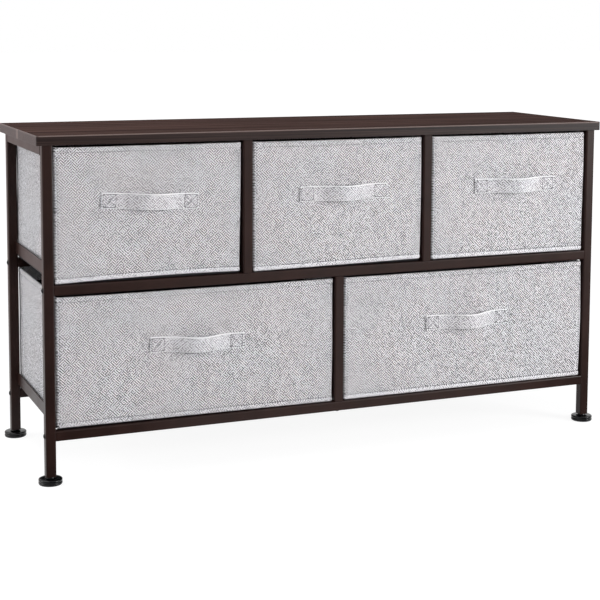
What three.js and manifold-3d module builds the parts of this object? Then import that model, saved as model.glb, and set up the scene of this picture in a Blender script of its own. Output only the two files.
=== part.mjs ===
// Wide five-drawer fabric dresser: a wood-grain top on a bolted square-tube frame that stands on four
// levelling feet, with three fabric bins over two wide ones, each with a sewn strap handle.
// Millimetres, +Z up, +X along the dresser, front towards -Y, origin on the floor at the centre.

import * as THREE from 'three';
import * as BufferGeometryUtils from 'three/addons/utils/BufferGeometryUtils.js';
import Module from 'manifold-3d';

const wasm = await Module();
wasm.setup();

// Overall
const topLength = 1000;
const topDepth = 300;
const overallHeight = 540;

// Top board and the band glued round its edges
const boardThickness = 15;
const boardCornerRadius = 2;
const bandThickness = 1;
const bandChamfer = 0.4;
const glueLine = 0.1;
const bandJointGap = 0.6;
const bandJointY = -52;

// Square tube of the frame
const tubeSize = 16;
const tubeWall = 1;
const tubeCornerRadius = 2;
const endPlateThickness = 3;

// Where the tubes run
const sideOverhang = 9;
const frontOverhang = 3;
const floorClearance = 67.5;
const lowerBayHeight = 211;
const rungRise = 26;
const upperBays = 3;
const lowerBays = 2;

// Flat bars that guide the drawers' outer sides, set in from the legs' inner faces
const guideHeight = 20;
const guideThickness = 2;
const guideInset = 1.5;
const guideCornerRadius = 0.5;

// Button-head bolts
const boltShankRadius = 3;
const boltLength = 24;
const boltHeadRadius = 5;
const boltHeadHeight = 2.8;
const boltTipChamfer = 0.6;
const boltHoleClearance = 0.25;
const socketAcrossFlats = 4;
const socketDepth = 1.6;

// Levelling feet and the threaded plugs that carry them
const footRadius = 18.5;
const footDiscHeight = 10;
const footHubRadius = 7;
const footHubHeight = 2;
const footStemRadius = 4;
const footStemLength = 20;
const footStemChamfer = 0.8;
const plugLength = 22;
const plugClearance = 0.1;
const stemClearance = 0.2;

// Fabric bins
const drawerRecess = 3;
const drawerRearGap = 3;
const drawerSideGap = 2.5;
const drawerTopGap = 3.7;
const drawerSeatGap = 0.3;
const binCornerRadius = 6;
const binEdgeRadius = 4;
const frontPanelThickness = 5;
const sideWallThickness = 3;
const binFloorThickness = 2.5;
const hemHeight = 9;
const hemStep = 0.6;
const rimRounding = 1.2;
const pipingHeight = 8;
const seamWidth = 2;
const baseBoardThickness = 3;
const baseBoardGap = 2;

// Strap handles
const strapWidth = 25;
const strapThickness = 1.6;
const strapPadLength = 25;
const strapFreeLength = 106;
const strapBow = 20;
const strapDrop = 87;
const sewnClearance = 0.3;
const handleOffsetShares = { upper: [0, 0.025, 0.029], lower: [-0.01, -0.002] };

// How finely round shapes are drawn, and how far a cutter runs past what it cuts
const cornerSegments = 2;
const boreSegments = 12;
const boltSegments = 16;
const footSegments = 20;
const strapSegments = 12;
const domeSegments = 3;
const cutOverrun = 1;

// Places that follow from the sizes above
const boardUnderside = overallHeight - boardThickness;
const frameHalfLength = topLength / 2 - sideOverhang;
const frameHalfDepth = topDepth / 2 - frontOverhang;
const legX = frameHalfLength - tubeSize / 2;
const legY = frameHalfDepth - tubeSize / 2;
const legUnderside = footDiscHeight + footHubHeight;
const insideLength = 2 * (frameHalfLength - tubeSize);
const insideDepth = 2 * (frameHalfDepth - tubeSize);
const bottomRailZ = floorClearance + tubeSize / 2;
const midRailZ = bottomRailZ + tubeSize + lowerBayHeight;
const bottomRailTop = bottomRailZ + tubeSize / 2;
const midRailTop = midRailZ + tubeSize / 2;
const upperBayHeight = boardUnderside - midRailTop;
const upperBayWidth = (insideLength - (upperBays - 1) * tubeSize) / upperBays;
const lowerBayWidth = (insideLength - (lowerBays - 1) * tubeSize) / lowerBays;
const boreRadius = boltShankRadius + boltHoleClearance;
const drawerDepth = 2 * frameHalfDepth - drawerRecess - drawerRearGap;
const binFrontY = drawerRecess - frameHalfDepth;
const strapBackY = binFrontY + hemStep - sewnClearance;
const frontReach = 2 * strapThickness + strapBow - strapBackY;
const rearReach = Math.max(topDepth / 2, legY + footRadius);

const tubePaint = { color: 0x3a2b29, roughness: 0.45, metalness: 0.35 };
const finishes = {
  board: new THREE.MeshStandardMaterial({ color: 0x4f3d3a, roughness: 0.5, metalness: 0 }),
  band: new THREE.MeshStandardMaterial({ color: 0x594644, roughness: 0.5, metalness: 0 }),
  frame: new THREE.MeshStandardMaterial(tubePaint),
  bolt: new THREE.MeshStandardMaterial({ color: 0x1d1a1a, roughness: 0.35, metalness: 0.7 }),
  foot: new THREE.MeshStandardMaterial({ color: 0x0e0e10, roughness: 0.25, metalness: 0 }),
  plug: new THREE.MeshStandardMaterial({ color: 0x1a1a1a, roughness: 0.6, metalness: 0 }),
  fabric: new THREE.MeshStandardMaterial({ color: 0xc9c8cc, roughness: 0.95, metalness: 0 }),
  strap: new THREE.MeshStandardMaterial({ color: 0xcfced2, roughness: 0.95, metalness: 0 }),
  baseBoard: new THREE.MeshStandardMaterial({ color: 0x9a9a9e, roughness: 0.9, metalness: 0 }),
};

const dresser = new THREE.Group();
// The straps reach further forward than the feet reach back, so the whole is set back over its origin
dresser.position.y = (frontReach - rearReach) / 2;

function addPiece(parent, name, geometry, finish, x, y, z) {
  const mesh = new THREE.Mesh(geometry, finish);
  mesh.name = name;
  mesh.position.set(x, y, z);
  parent.add(mesh);
}

function toSolid(geometry) {
  const bare = geometry.clone();
  bare.deleteAttribute('normal');
  bare.deleteAttribute('uv');
  const merged = BufferGeometryUtils.mergeVertices(bare);
  return new wasm.Manifold(new wasm.Mesh({
    numProp: 3,
    vertProperties: new Float32Array(merged.attributes.position.array),
    triVerts: new Uint32Array(merged.index.array),
  }));
}

function toGeometry(solid) {
  const mesh = solid.getMesh();
  const geometry = new THREE.BufferGeometry();
  geometry.setAttribute('position', new THREE.BufferAttribute(mesh.vertProperties, 3));
  geometry.setIndex(new THREE.BufferAttribute(mesh.triVerts, 1));
  return geometry;
}

function cutAway(geometry, cutters) {
  let solid = toSolid(geometry);
  for (const cutter of cutters) {
    solid = solid.subtract(toSolid(cutter));
  }
  return toGeometry(solid);
}

// Corners of a rounded rectangle, anticlockwise from the right-hand end of its lower side
function roundedRectangle(xMin, xMax, yMin, yMax, radius) {
  const centres = [
    [xMax - radius, yMin + radius],
    [xMax - radius, yMax - radius],
    [xMin + radius, yMax - radius],
    [xMin + radius, yMin + radius],
  ];
  const points = [];
  centres.forEach(([x, y], corner) => {
    for (let i = 0; i <= cornerSegments; i += 1) {
      const angle = ((corner - 1 + i / cornerSegments) * Math.PI) / 2;
      points.push(new THREE.Vector2(x + radius * Math.cos(angle), y + radius * Math.sin(angle)));
    }
  });
  return points;
}

function squareBar(size, radius, length) {
  const outline = new THREE.Shape(roundedRectangle(-size / 2, size / 2, -size / 2, size / 2, radius));
  return new THREE.ExtrudeGeometry(outline, { depth: length, bevelEnabled: false });
}

// Flat bar along +Y from zero, on edge
function guideBar(length) {
  const x = guideThickness / 2;
  const y = guideHeight / 2;
  const outline = new THREE.Shape(roundedRectangle(-x, x, -y, y, guideCornerRadius));
  const bar = new THREE.ExtrudeGeometry(outline, { depth: length, bevelEnabled: false });
  return bar.rotateX(-Math.PI / 2);
}

function borePin(radius, length) {
  const pin = new THREE.CylinderGeometry(radius, radius, length, boreSegments);
  return pin.rotateX(Math.PI / 2);
}

// A closed skin through a row of rings with equal counts of points, capped at both ends
function loft(rings) {
  const count = rings[0].length;
  const positions = [];
  const indices = [];
  for (const ring of rings) {
    for (const point of ring) {
      positions.push(point.x, point.y, point.z);
    }
  }
  for (let r = 0; r < rings.length - 1; r += 1) {
    for (let i = 0; i < count; i += 1) {
      const a = r * count + i;
      const b = r * count + ((i + 1) % count);
      indices.push(a, b, b + count, a, b + count, a + count);
    }
  }
  const last = (rings.length - 1) * count;
  for (let i = 1; i < count - 1; i += 1) {
    indices.push(0, i + 1, i);
    indices.push(last, last + i, last + i + 1);
  }
  const geometry = new THREE.BufferGeometry();
  geometry.setAttribute('position', new THREE.Float32BufferAttribute(positions, 3));
  geometry.setIndex(indices);
  return geometry;
}

// Square tube along Z from zero: plates close its ends, and bores are drilled along or across it
function tube(length, { startPlate = 0, endPlate = 0, startBore = false, endBore = false, crossBores = [] }) {
  const hollowSize = tubeSize - 2 * tubeWall;
  const hollowStart = startPlate > 0 ? startPlate : -cutOverrun;
  const hollowEnd = endPlate > 0 ? length - endPlate : length + cutOverrun;
  const hollow = squareBar(hollowSize, tubeCornerRadius - tubeWall, hollowEnd - hollowStart);
  hollow.translate(0, 0, hollowStart);
  const cutters = [hollow];
  if (startBore) {
    cutters.push(borePin(boreRadius, 2 * (startPlate + cutOverrun)));
  }
  if (endBore) {
    cutters.push(borePin(boreRadius, 2 * (endPlate + cutOverrun)).translate(0, 0, length));
  }
  for (const { at, along } of crossBores) {
    const pin = borePin(boreRadius, tubeSize + 2 * cutOverrun);
    if (along === 'x') {
      pin.rotateY(Math.PI / 2);
    } else {
      pin.rotateX(Math.PI / 2);
    }
    cutters.push(pin.translate(0, 0, at));
  }
  return cutAway(squareBar(tubeSize, tubeCornerRadius, length), cutters);
}

// Button-head bolt: the head sits on z = 0 and points up, the shank hangs below
function bolt() {
  const profile = [
    new THREE.Vector2(0, -boltLength),
    new THREE.Vector2(boltShankRadius - boltTipChamfer, -boltLength),
    new THREE.Vector2(boltShankRadius, boltTipChamfer - boltLength),
    new THREE.Vector2(boltShankRadius, 0),
    new THREE.Vector2(boltHeadRadius, 0),
  ];
  const crownRadius = (boltHeadRadius ** 2 + boltHeadHeight ** 2) / (2 * boltHeadHeight);
  for (let i = 1; i < domeSegments; i += 1) {
    const r = boltHeadRadius * (1 - i / domeSegments);
    profile.push(new THREE.Vector2(r, Math.sqrt(crownRadius ** 2 - r ** 2) + boltHeadHeight - crownRadius));
  }
  profile.push(new THREE.Vector2(0, boltHeadHeight));
  const body = new THREE.LatheGeometry(profile, boltSegments).rotateX(Math.PI / 2);
  const socketRadius = socketAcrossFlats / Math.sqrt(3);
  const socket = new THREE.CylinderGeometry(socketRadius, socketRadius, 2 * socketDepth, 6);
  socket.rotateX(Math.PI / 2).translate(0, 0, boltHeadHeight);
  return cutAway(body, [socket]);
}

// Levelling foot: a turned disc with a grooved edge, a hub under the leg and a stem up into its plug
function levellingFoot() {
  const radiusShares = [0, 0.9, 0.98, 1, 1, 0.95, 0.95, 1, 1, 0.95, 0.82];
  const heightShares = [0, 0, 0.08, 0.2, 0.36, 0.44, 0.52, 0.6, 0.78, 0.9, 0.98];
  const profile = radiusShares.map((share, i) => (
    new THREE.Vector2(share * footRadius, heightShares[i] * footDiscHeight)
  ));
  const stemTop = legUnderside + footStemLength;
  profile.push(new THREE.Vector2(footHubRadius, footDiscHeight));
  profile.push(new THREE.Vector2(footHubRadius, legUnderside));
  profile.push(new THREE.Vector2(footStemRadius, legUnderside));
  profile.push(new THREE.Vector2(footStemRadius, stemTop - footStemChamfer));
  profile.push(new THREE.Vector2(footStemRadius - footStemChamfer, stemTop));
  profile.push(new THREE.Vector2(0, stemTop));
  return new THREE.LatheGeometry(profile, footSegments).rotateX(Math.PI / 2);
}

function legPlug() {
  const size = tubeSize - 2 * (tubeWall + plugClearance);
  const stemBore = borePin(footStemRadius + stemClearance, 2 * (plugLength + cutOverrun));
  return cutAway(squareBar(size, tubeCornerRadius - tubeWall, plugLength), [stemBore]);
}

function addTop(parent) {
  const coreX = topLength / 2 - bandThickness - glueLine;
  const coreY = topDepth / 2 - bandThickness - glueLine;
  const coreRadius = boardCornerRadius - bandThickness;
  const outline = new THREE.Shape(roundedRectangle(-coreX, coreX, -coreY, coreY, coreRadius));
  const core = new THREE.ExtrudeGeometry(outline, { depth: boardThickness, bevelEnabled: false });
  addPiece(parent, 'top_board', core, finishes.board, 0, 0, boardUnderside);

  // The band starts and ends at a butt joint on the left end, nearer the front
  const bandOutline = (inset) => {
    const x = topLength / 2 - inset;
    const y = topDepth / 2 - inset;
    const corners = roundedRectangle(-x, x, -y, y, boardCornerRadius - inset);
    const firstCorner = corners.splice(-cornerSegments - 1);
    const start = new THREE.Vector2(-x, bandJointY - bandJointGap / 2);
    const end = new THREE.Vector2(-x, bandJointY + bandJointGap / 2);
    return [start, ...firstCorner, ...corners, end];
  };
  const inner = bandOutline(bandThickness);
  const chamfer = bandOutline(bandChamfer);
  const outer = bandOutline(0);
  const sections = outer.map((edge, i) => [
    new THREE.Vector3(inner[i].x, inner[i].y, 0),
    new THREE.Vector3(inner[i].x, inner[i].y, boardThickness),
    new THREE.Vector3(chamfer[i].x, chamfer[i].y, boardThickness),
    new THREE.Vector3(edge.x, edge.y, boardThickness - bandChamfer),
    new THREE.Vector3(edge.x, edge.y, bandChamfer),
    new THREE.Vector3(chamfer[i].x, chamfer[i].y, 0),
  ]);
  addPiece(parent, 'top_edge_band', loft(sections), finishes.band, 0, 0, boardUnderside);
}

// Two legs, a welded top rung and two guide bars make each side of the frame
function addSideFrames(parent) {
  const legLength = boardUnderside - legUnderside;
  const legBores = [bottomRailZ, midRailZ].map((z) => ({ at: z - legUnderside, along: 'x' }));
  const guideX = insideLength / 2 + guideInset + guideThickness / 2;
  const startY = -insideDepth / 2;
  for (const [side, signX] of [['left', -1], ['right', 1]]) {
    const x = signX * legX;
    for (const [end, signY] of [['front', -1], ['rear', 1]]) {
      const y = signY * legY;
      const leg = tube(legLength, { crossBores: legBores });
      addPiece(parent, `leg_${end}_${side}`, leg, finishes.frame, x, y, legUnderside);
      addPiece(parent, `leg_plug_${end}_${side}`, legPlug(), finishes.plug, x, y, legUnderside);
      addPiece(parent, `levelling_foot_${end}_${side}`, levellingFoot(), finishes.foot, x, y, 0);
      for (const [level, z] of [['bottom', bottomRailZ], ['mid', midRailZ]]) {
        const railBolt = bolt().rotateY((signX * Math.PI) / 2);
        const name = `rail_bolt_${level}_${end}_${side}`;
        addPiece(parent, name, railBolt, finishes.bolt, signX * frameHalfLength, y, z);
      }
    }
    const rung = tube(insideDepth, {}).rotateX(-Math.PI / 2);
    const rungZ = boardUnderside - tubeSize / 2;
    addPiece(parent, `side_rung_top_${side}`, rung, finishes.frame, x, startY, rungZ);
    for (const [level, railZ] of [['mid', midRailZ], ['low', bottomRailZ]]) {
      const bar = guideBar(insideDepth);
      const z = railZ + rungRise;
      addPiece(parent, `guide_bar_${level}_${side}`, bar, finishes.frame, signX * guideX, startY, z);
    }
  }
}

function bayEdges(bays, width) {
  return Array.from({ length: bays }, (_, i) => i * (width + tubeSize) - insideLength / 2);
}

// Rails run between the side frames, and posts stand on them with a rung between each front and rear pair
function addRailsAndPosts(parent) {
  const upperPostXs = bayEdges(upperBays, upperBayWidth).slice(1).map((edge) => edge - tubeSize / 2);
  const lowerPostXs = bayEdges(lowerBays, lowerBayWidth).slice(1).map((edge) => edge - tubeSize / 2);
  const plates = { startPlate: endPlateThickness, endPlate: endPlateThickness };
  const rails = [
    { level: 'bottom', z: bottomRailZ, postXs: lowerPostXs },
    { level: 'mid', z: midRailZ, postXs: upperPostXs },
  ];
  for (const [end, signY] of [['front', -1], ['rear', 1]]) {
    const y = signY * legY;
    for (const { level, z, postXs } of rails) {
      const crossBores = postXs.map((x) => ({ at: x + insideLength / 2, along: 'x' }));
      const rail = tube(insideLength, { ...plates, startBore: true, endBore: true, crossBores });
      rail.rotateY(Math.PI / 2);
      addPiece(parent, `${level}_rail_${end}`, rail, finishes.frame, -insideLength / 2, y, z);
    }
    upperPostXs.forEach((x, i) => {
      const post = tube(upperBayHeight, { ...plates, startBore: true, endBore: true });
      const side = ['left', 'right'][i] ?? `${i + 1}`;
      addPiece(parent, `upper_post_${end}_${side}`, post, finishes.frame, x, y, midRailTop);
    });
    lowerPostXs.forEach((x, i) => {
      const number = i > 0 ? `_${i + 1}` : '';
      const post = tube(lowerBayHeight, { ...plates, startBore: true });
      addPiece(parent, `lower_post_${end}${number}`, post, finishes.frame, x, y, bottomRailTop);
      const postBolt = bolt().rotateX(Math.PI);
      addPiece(parent, `post_bolt_${end}${number}`, postBolt, finishes.bolt, x, y, floorClearance);
    });
  }
  upperPostXs.forEach((x, i) => {
    const rung = tube(insideDepth, {}).rotateX(-Math.PI / 2);
    const side = ['left', 'right'][i] ?? `${i + 1}`;
    const z = midRailZ + rungRise;
    addPiece(parent, `divider_rung_upper_${side}`, rung, finishes.frame, x, -insideDepth / 2, z);
  });
  lowerPostXs.forEach((x, i) => {
    const rung = tube(insideDepth, {}).rotateX(-Math.PI / 2);
    const number = i > 0 ? `_${i + 1}` : '';
    const z = bottomRailZ + rungRise;
    addPiece(parent, `divider_rung_lower${number}`, rung, finishes.frame, x, -insideDepth / 2, z);
  });
}

// Open-topped bin: rolled lower edge, stitched seam over the piping, plain wall, thicker turned-over hem.
// Its origin is at the middle of the front's lower edge, and its depth runs towards +Y.
function fabricBin(width, height) {
  const outerRing = (inset, z) => (
    roundedRectangle(inset - width / 2, width / 2 - inset, inset, drawerDepth - inset, binCornerRadius - inset)
      .map((p) => new THREE.Vector3(p.x, p.y, z))
  );
  const innerRing = (inset, z) => {
    const side = sideWallThickness + inset;
    const front = frontPanelThickness + inset;
    return roundedRectangle(side - width / 2, width / 2 - side, front, drawerDepth - side,
      binCornerRadius - sideWallThickness).map((p) => new THREE.Vector3(p.x, p.y, z));
  };
  const roll = Math.SQRT1_2 * binEdgeRadius;
  const hemFoot = height - hemHeight;
  return loft([
    outerRing(binEdgeRadius, 0),
    outerRing(binEdgeRadius - roll, binEdgeRadius - roll),
    outerRing(0, binEdgeRadius),
    outerRing(0, pipingHeight - seamWidth / 2),
    outerRing(2 * hemStep, pipingHeight),
    outerRing(hemStep, pipingHeight + seamWidth / 2),
    outerRing(hemStep, hemFoot - hemStep),
    outerRing(0, hemFoot),
    outerRing(0, height - rimRounding),
    outerRing(rimRounding / 2, height),
    innerRing(-rimRounding / 2, height),
    innerRing(0, height - rimRounding),
    innerRing(0, binFloorThickness),
  ]);
}

function baseBoard(width) {
  const side = sideWallThickness + baseBoardGap;
  const outline = new THREE.Shape(roundedRectangle(side - width / 2, width / 2 - side,
    frontPanelThickness + baseBoardGap, drawerDepth - side, binCornerRadius - sideWallThickness));
  return new THREE.ExtrudeGeometry(outline, { depth: baseBoardThickness, bevelEnabled: false });
}

// Strap seen from above: both ends are turned under and sewn flat, and the middle bows forward for fingers.
// Its back lies on y = 0, its middle is at x = 0 and its lower edge is on z = 0.
function strapHandle() {
  const half = strapFreeLength / 2;
  const back = [];
  const front = [];
  for (let i = 0; i <= strapSegments; i += 1) {
    const x = -half + (strapFreeLength * i) / strapSegments;
    const phase = (Math.PI * x) / half;
    const y = -strapThickness - (strapBow * (1 + Math.cos(phase))) / 2;
    const slope = (strapBow * Math.PI * Math.sin(phase)) / (2 * half);
    const stretch = Math.hypot(1, slope);
    back.push(new THREE.Vector2(x, y));
    front.push(new THREE.Vector2(x + (strapThickness * slope) / stretch, y - strapThickness / stretch));
  }
  const tip = half + strapPadLength;
  const outline = [
    new THREE.Vector2(-tip, 0),
    new THREE.Vector2(-tip, -2 * strapThickness),
    ...front,
    new THREE.Vector2(tip, -2 * strapThickness),
    new THREE.Vector2(tip, 0),
    new THREE.Vector2(half, 0),
    ...back.reverse(),
    new THREE.Vector2(-half, 0),
  ];
  const shape = new THREE.Shape(outline);
  return new THREE.ExtrudeGeometry(shape, { depth: strapWidth, bevelEnabled: false });
}

function addDrawers(parent) {
  const rows = [
    {
      row: 'upper',
      sides: ['left', 'middle', 'right'],
      edges: bayEdges(upperBays, upperBayWidth),
      bayWidth: upperBayWidth,
      bayHeight: upperBayHeight,
      railTop: midRailTop,
    },
    {
      row: 'lower',
      sides: ['left', 'right'],
      edges: bayEdges(lowerBays, lowerBayWidth),
      bayWidth: lowerBayWidth,
      bayHeight: lowerBayHeight,
      railTop: bottomRailTop,
    },
  ];
  for (const { row, sides, edges, bayWidth, bayHeight, railTop } of rows) {
    const width = bayWidth - 2 * drawerSideGap;
    const height = bayHeight - drawerTopGap - drawerSeatGap;
    edges.forEach((edge, i) => {
      const drawer = new THREE.Group();
      drawer.position.set(edge + bayWidth / 2, 0, railTop + drawerSeatGap);
      parent.add(drawer);
      const name = `drawer_${row}_${sides[i] ?? i + 1}`;
      const shift = (handleOffsetShares[row][i] ?? 0) * width;
      const strapZ = height - strapDrop - strapWidth / 2;
      const boardZ = binFloorThickness + drawerSeatGap;
      addPiece(drawer, `${name}_bin`, fabricBin(width, height), finishes.fabric, 0, binFrontY, 0);
      addPiece(drawer, `${name}_base_board`, baseBoard(width), finishes.baseBoard, 0, binFrontY, boardZ);
      addPiece(drawer, `${name}_handle`, strapHandle(), finishes.strap, shift, strapBackY, strapZ);
    });
  }
}

addTop(dresser);
addSideFrames(dresser);
addRailsAndPosts(dresser);
addDrawers(dresser);

export default dresser;
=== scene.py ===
# Wide five-drawer fabric dresser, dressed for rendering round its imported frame.
# Metres, in the frame's own axes: +X along the dresser, front towards -Y, floor at z = 0.

import math

import bpy
import numpy as np
from mathutils import Matrix, Vector, noise


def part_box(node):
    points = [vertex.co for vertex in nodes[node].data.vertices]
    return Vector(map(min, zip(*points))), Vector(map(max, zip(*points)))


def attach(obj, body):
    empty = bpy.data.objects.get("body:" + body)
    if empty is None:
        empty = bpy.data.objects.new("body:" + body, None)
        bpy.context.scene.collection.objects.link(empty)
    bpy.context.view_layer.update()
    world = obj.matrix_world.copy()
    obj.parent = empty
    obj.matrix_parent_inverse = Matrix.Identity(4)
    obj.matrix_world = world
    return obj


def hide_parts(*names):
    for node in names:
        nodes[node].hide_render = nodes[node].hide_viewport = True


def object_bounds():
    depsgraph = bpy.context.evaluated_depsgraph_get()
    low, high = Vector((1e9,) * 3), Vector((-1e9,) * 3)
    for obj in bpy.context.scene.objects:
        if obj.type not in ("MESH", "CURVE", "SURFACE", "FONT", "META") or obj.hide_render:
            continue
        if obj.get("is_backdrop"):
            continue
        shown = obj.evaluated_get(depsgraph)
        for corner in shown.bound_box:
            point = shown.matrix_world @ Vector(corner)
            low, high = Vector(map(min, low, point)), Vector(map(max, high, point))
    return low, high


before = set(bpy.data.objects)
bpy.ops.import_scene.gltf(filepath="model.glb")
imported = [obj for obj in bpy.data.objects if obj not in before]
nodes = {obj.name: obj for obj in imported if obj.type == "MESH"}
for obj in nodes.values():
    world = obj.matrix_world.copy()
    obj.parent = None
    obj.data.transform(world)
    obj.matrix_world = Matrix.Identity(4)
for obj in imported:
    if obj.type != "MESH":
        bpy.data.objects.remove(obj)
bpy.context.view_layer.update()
mm = 0.001
print("frame loaded,", len(nodes), "nodes")


# Helpers for meshes

def loftPiece(name, rings, finishes, finishAt=None, wrapped=False, creaseDegrees=40):
    # One closed skin through a row of rings with equal counts of points; finishAt picks by row and column
    rings = np.asarray(rings, float)
    rows, count = rings.shape[:2]
    faces, finishOf = [], []
    for row in range(rows if wrapped else rows - 1):
        above = (row + 1) % rows
        for i in range(count):
            j = (i + 1) % count
            faces.append((row * count + i, row * count + j, above * count + j, above * count + i))
            finishOf.append(finishAt(row, i) if finishAt else 0)
    if not wrapped:
        faces.append(tuple(reversed(range(count))))
        faces.append(tuple(range((rows - 1) * count, rows * count)))
        finishOf += [finishAt(0, 0), finishAt(rows - 2, 0)] if finishAt else [0, 0]
    return meshPiece(name, rings.reshape(-1, 3), faces, finishes, finishOf, creaseDegrees)


def meshPiece(name, points, faces, finishes, finishOf=None, creaseDegrees=40):
    mesh = bpy.data.meshes.new(name)
    mesh.from_pydata([tuple(p) for p in points], [], faces)
    for finish in finishes:
        mesh.materials.append(finish)
    if finishOf:
        mesh.polygons.foreach_set("material_index", finishOf)
    mesh.polygons.foreach_set("use_smooth", [True] * len(faces))
    mesh.set_sharp_from_angle(angle=math.radians(creaseDegrees))
    mesh.update()
    piece = bpy.data.objects.new(name, mesh)
    bpy.context.scene.collection.objects.link(piece)
    return piece


def seat(piece, body, slotName, *replaced):
    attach(piece, body)
    if replaced:
        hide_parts(*replaced)
    return piece


def bell(distance, width):
    return math.exp(-(distance / width) ** 2)


def ease(share):
    share = min(1.0, max(0.0, share))
    return share * share * (3 - 2 * share)


def drift(x, y, z, size):
    return noise.noise(Vector((x / size, y / size, z / size)))


# Helpers for materials

def linear(hexCode):
    channels = [int(hexCode[i:i + 2], 16) / 255 for i in (1, 3, 5)]
    return [c / 12.92 if c <= 0.04045 else ((c + 0.055) / 1.055) ** 2.4 for c in channels] + [1.0]


def addNode(tree, kind, links=None, stops=None, out=0, **settings):
    # Adds a shader node and gives back one of its outputs, or all of them when out is None
    node = tree.nodes.new("ShaderNode" + kind)
    for setting, value in settings.items():
        setattr(node, setting, value)
    for socket, value in (links or {}).items():
        if isinstance(value, bpy.types.NodeSocket):
            tree.links.new(value, node.inputs[socket])
        else:
            node.inputs[socket].default_value = value
    if stops:
        elements = node.color_ramp.elements
        elements.remove(elements[1])
        elements[0].position, elements[0].color = stops[0][0], linear(stops[0][1])
        for position, colour in stops[1:]:
            elements.new(position).color = linear(colour)
    return node.outputs if out is None else node.outputs[out]


def startMaterial(name):
    material = bpy.data.materials.new(name)
    material.use_nodes = True
    material.node_tree.nodes.clear()
    return material, material.node_tree


def finishMaterial(material, surface):
    addNode(material.node_tree, "OutputMaterial", {"Surface": surface}, out=None)
    return material


# Tweed: polyester yarns of two greys in a small broken herringbone, so light and dark rows run both ways.
# The yarns are about 0.5 mm; the flecks are drawn as the 1.6 mm clusters that show at this distance.
tweedLook = {
    "fleckWidth": 1.6 * mm,
    "fleckLength": 1.7 * mm,
    "rowShift": 0.377,
    "rowShare": 0.52,
    "blockSize": 6 * mm,
    "yarnPitch": 0.7 * mm,
    "yarnShare": 0.15,
    "patchSize": 70 * mm,
    "tintShare": 0.35,
    "dark": "#1f1e22",
    "middle": "#cbc9ce",
    "light": "#ffffff",
    "warmTint": "#d6cdd2",
    "coolTint": "#cfcfd6",
}


def wovenTweed(name, look, contrast=1.0, lift=0.0, depthShare=1.0):
    # With a depthShare of 0 the pattern leaves out the depth, and so follows a strap as it bows out
    material, tree = startMaterial(name)
    coords = addNode(tree, "TexCoord", out="Object")

    def flecks(alongZ, seed):
        # Cells in rows at 45 degrees, each row shifted from the last and every second one darker
        root = math.sqrt(2)
        along, across = 1 / (look["fleckLength"] * root), 1 / (look["fleckWidth"] * root)
        run = addNode(tree, "VectorMath", {0: coords, 1: (along, along * depthShare, along * alongZ)},
                      out="Value", operation="DOT_PRODUCT")
        row = addNode(tree, "VectorMath", {0: coords, 1: (across, across * depthShare, -across * alongZ)},
                      out="Value", operation="DOT_PRODUCT")
        rowNumber = addNode(tree, "Math", {0: row}, operation="FLOOR")
        shifted = addNode(tree, "Math", {0: rowNumber, 1: look["rowShift"], 2: run}, operation="MULTIPLY_ADD")
        cell = addNode(tree, "Math", {0: shifted}, operation="FLOOR")
        where = addNode(tree, "CombineXYZ", {0: cell, 1: rowNumber, 2: seed})
        spread = addNode(tree, "TexWhiteNoise", {"Vector": where}, out="Value", noise_dimensions="3D")
        turned = addNode(tree, "Math", {0: rowNumber, 1: 1.0}, operation="PINGPONG")
        return addNode(tree, "Mix", {"Factor": look["rowShare"], "A": spread, "B": turned})

    rising, falling = flecks(1, 0.5), flecks(-1, 7.5)
    blocks = addNode(tree, "TexNoise", {"Vector": coords, "Scale": 1 / look["blockSize"], "Detail": 1.0})
    which = addNode(tree, "MapRange", {"Value": blocks, "From Min": 0.47, "From Max": 0.53})
    fleck = addNode(tree, "Mix", {"Factor": which, "A": rising, "B": falling})
    fine = addNode(tree, "TexNoise", {"Vector": coords, "Scale": 1 / look["yarnPitch"], "Detail": 2.0})
    mixed = addNode(tree, "Mix", {"Factor": look["yarnShare"], "A": fleck, "B": fine})
    tone = addNode(tree, "MapRange", {
        "Value": mixed, "To Min": 0.5 - contrast / 2 + lift, "To Max": 0.5 + contrast / 2 + lift})
    colour = addNode(tree, "ValToRGB", {"Fac": tone}, [
        (0.24, look["dark"]), (0.5, look["middle"]), (0.68, look["light"])])
    patches = addNode(tree, "TexNoise", {"Vector": coords, "Scale": 1 / look["patchSize"], "Detail": 2.0})
    tint = addNode(tree, "ValToRGB", {"Fac": patches}, [(0.35, look["coolTint"]), (0.65, look["warmTint"])])
    tinted = addNode(tree, "Mix", {0: look["tintShare"], 6: colour, 7: tint}, out=2,
                     data_type="RGBA", blend_type="MULTIPLY")
    relief = addNode(tree, "Bump", {"Height": mixed, "Strength": 0.12, "Distance": 0.4 * mm})
    return finishMaterial(material, addNode(tree, "BsdfPrincipled", {
        "Base Color": tinted, "Roughness": 0.92, "Specular IOR Level": 0.12, "Sheen Weight": 0.12,
        "Sheen Roughness": 0.5, "Normal": relief}))


# Spun-bonded lining: thin polypropylene felt pressed with small dots, dull and nearly black
liningLook = {"colour": "#2a292b", "light": "#3a393c", "dotPitch": 2.4 * mm, "fibreSize": 6 * mm}
boardCoverLook = dict(liningLook, colour="#39383b", light="#4c4b4f")


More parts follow.
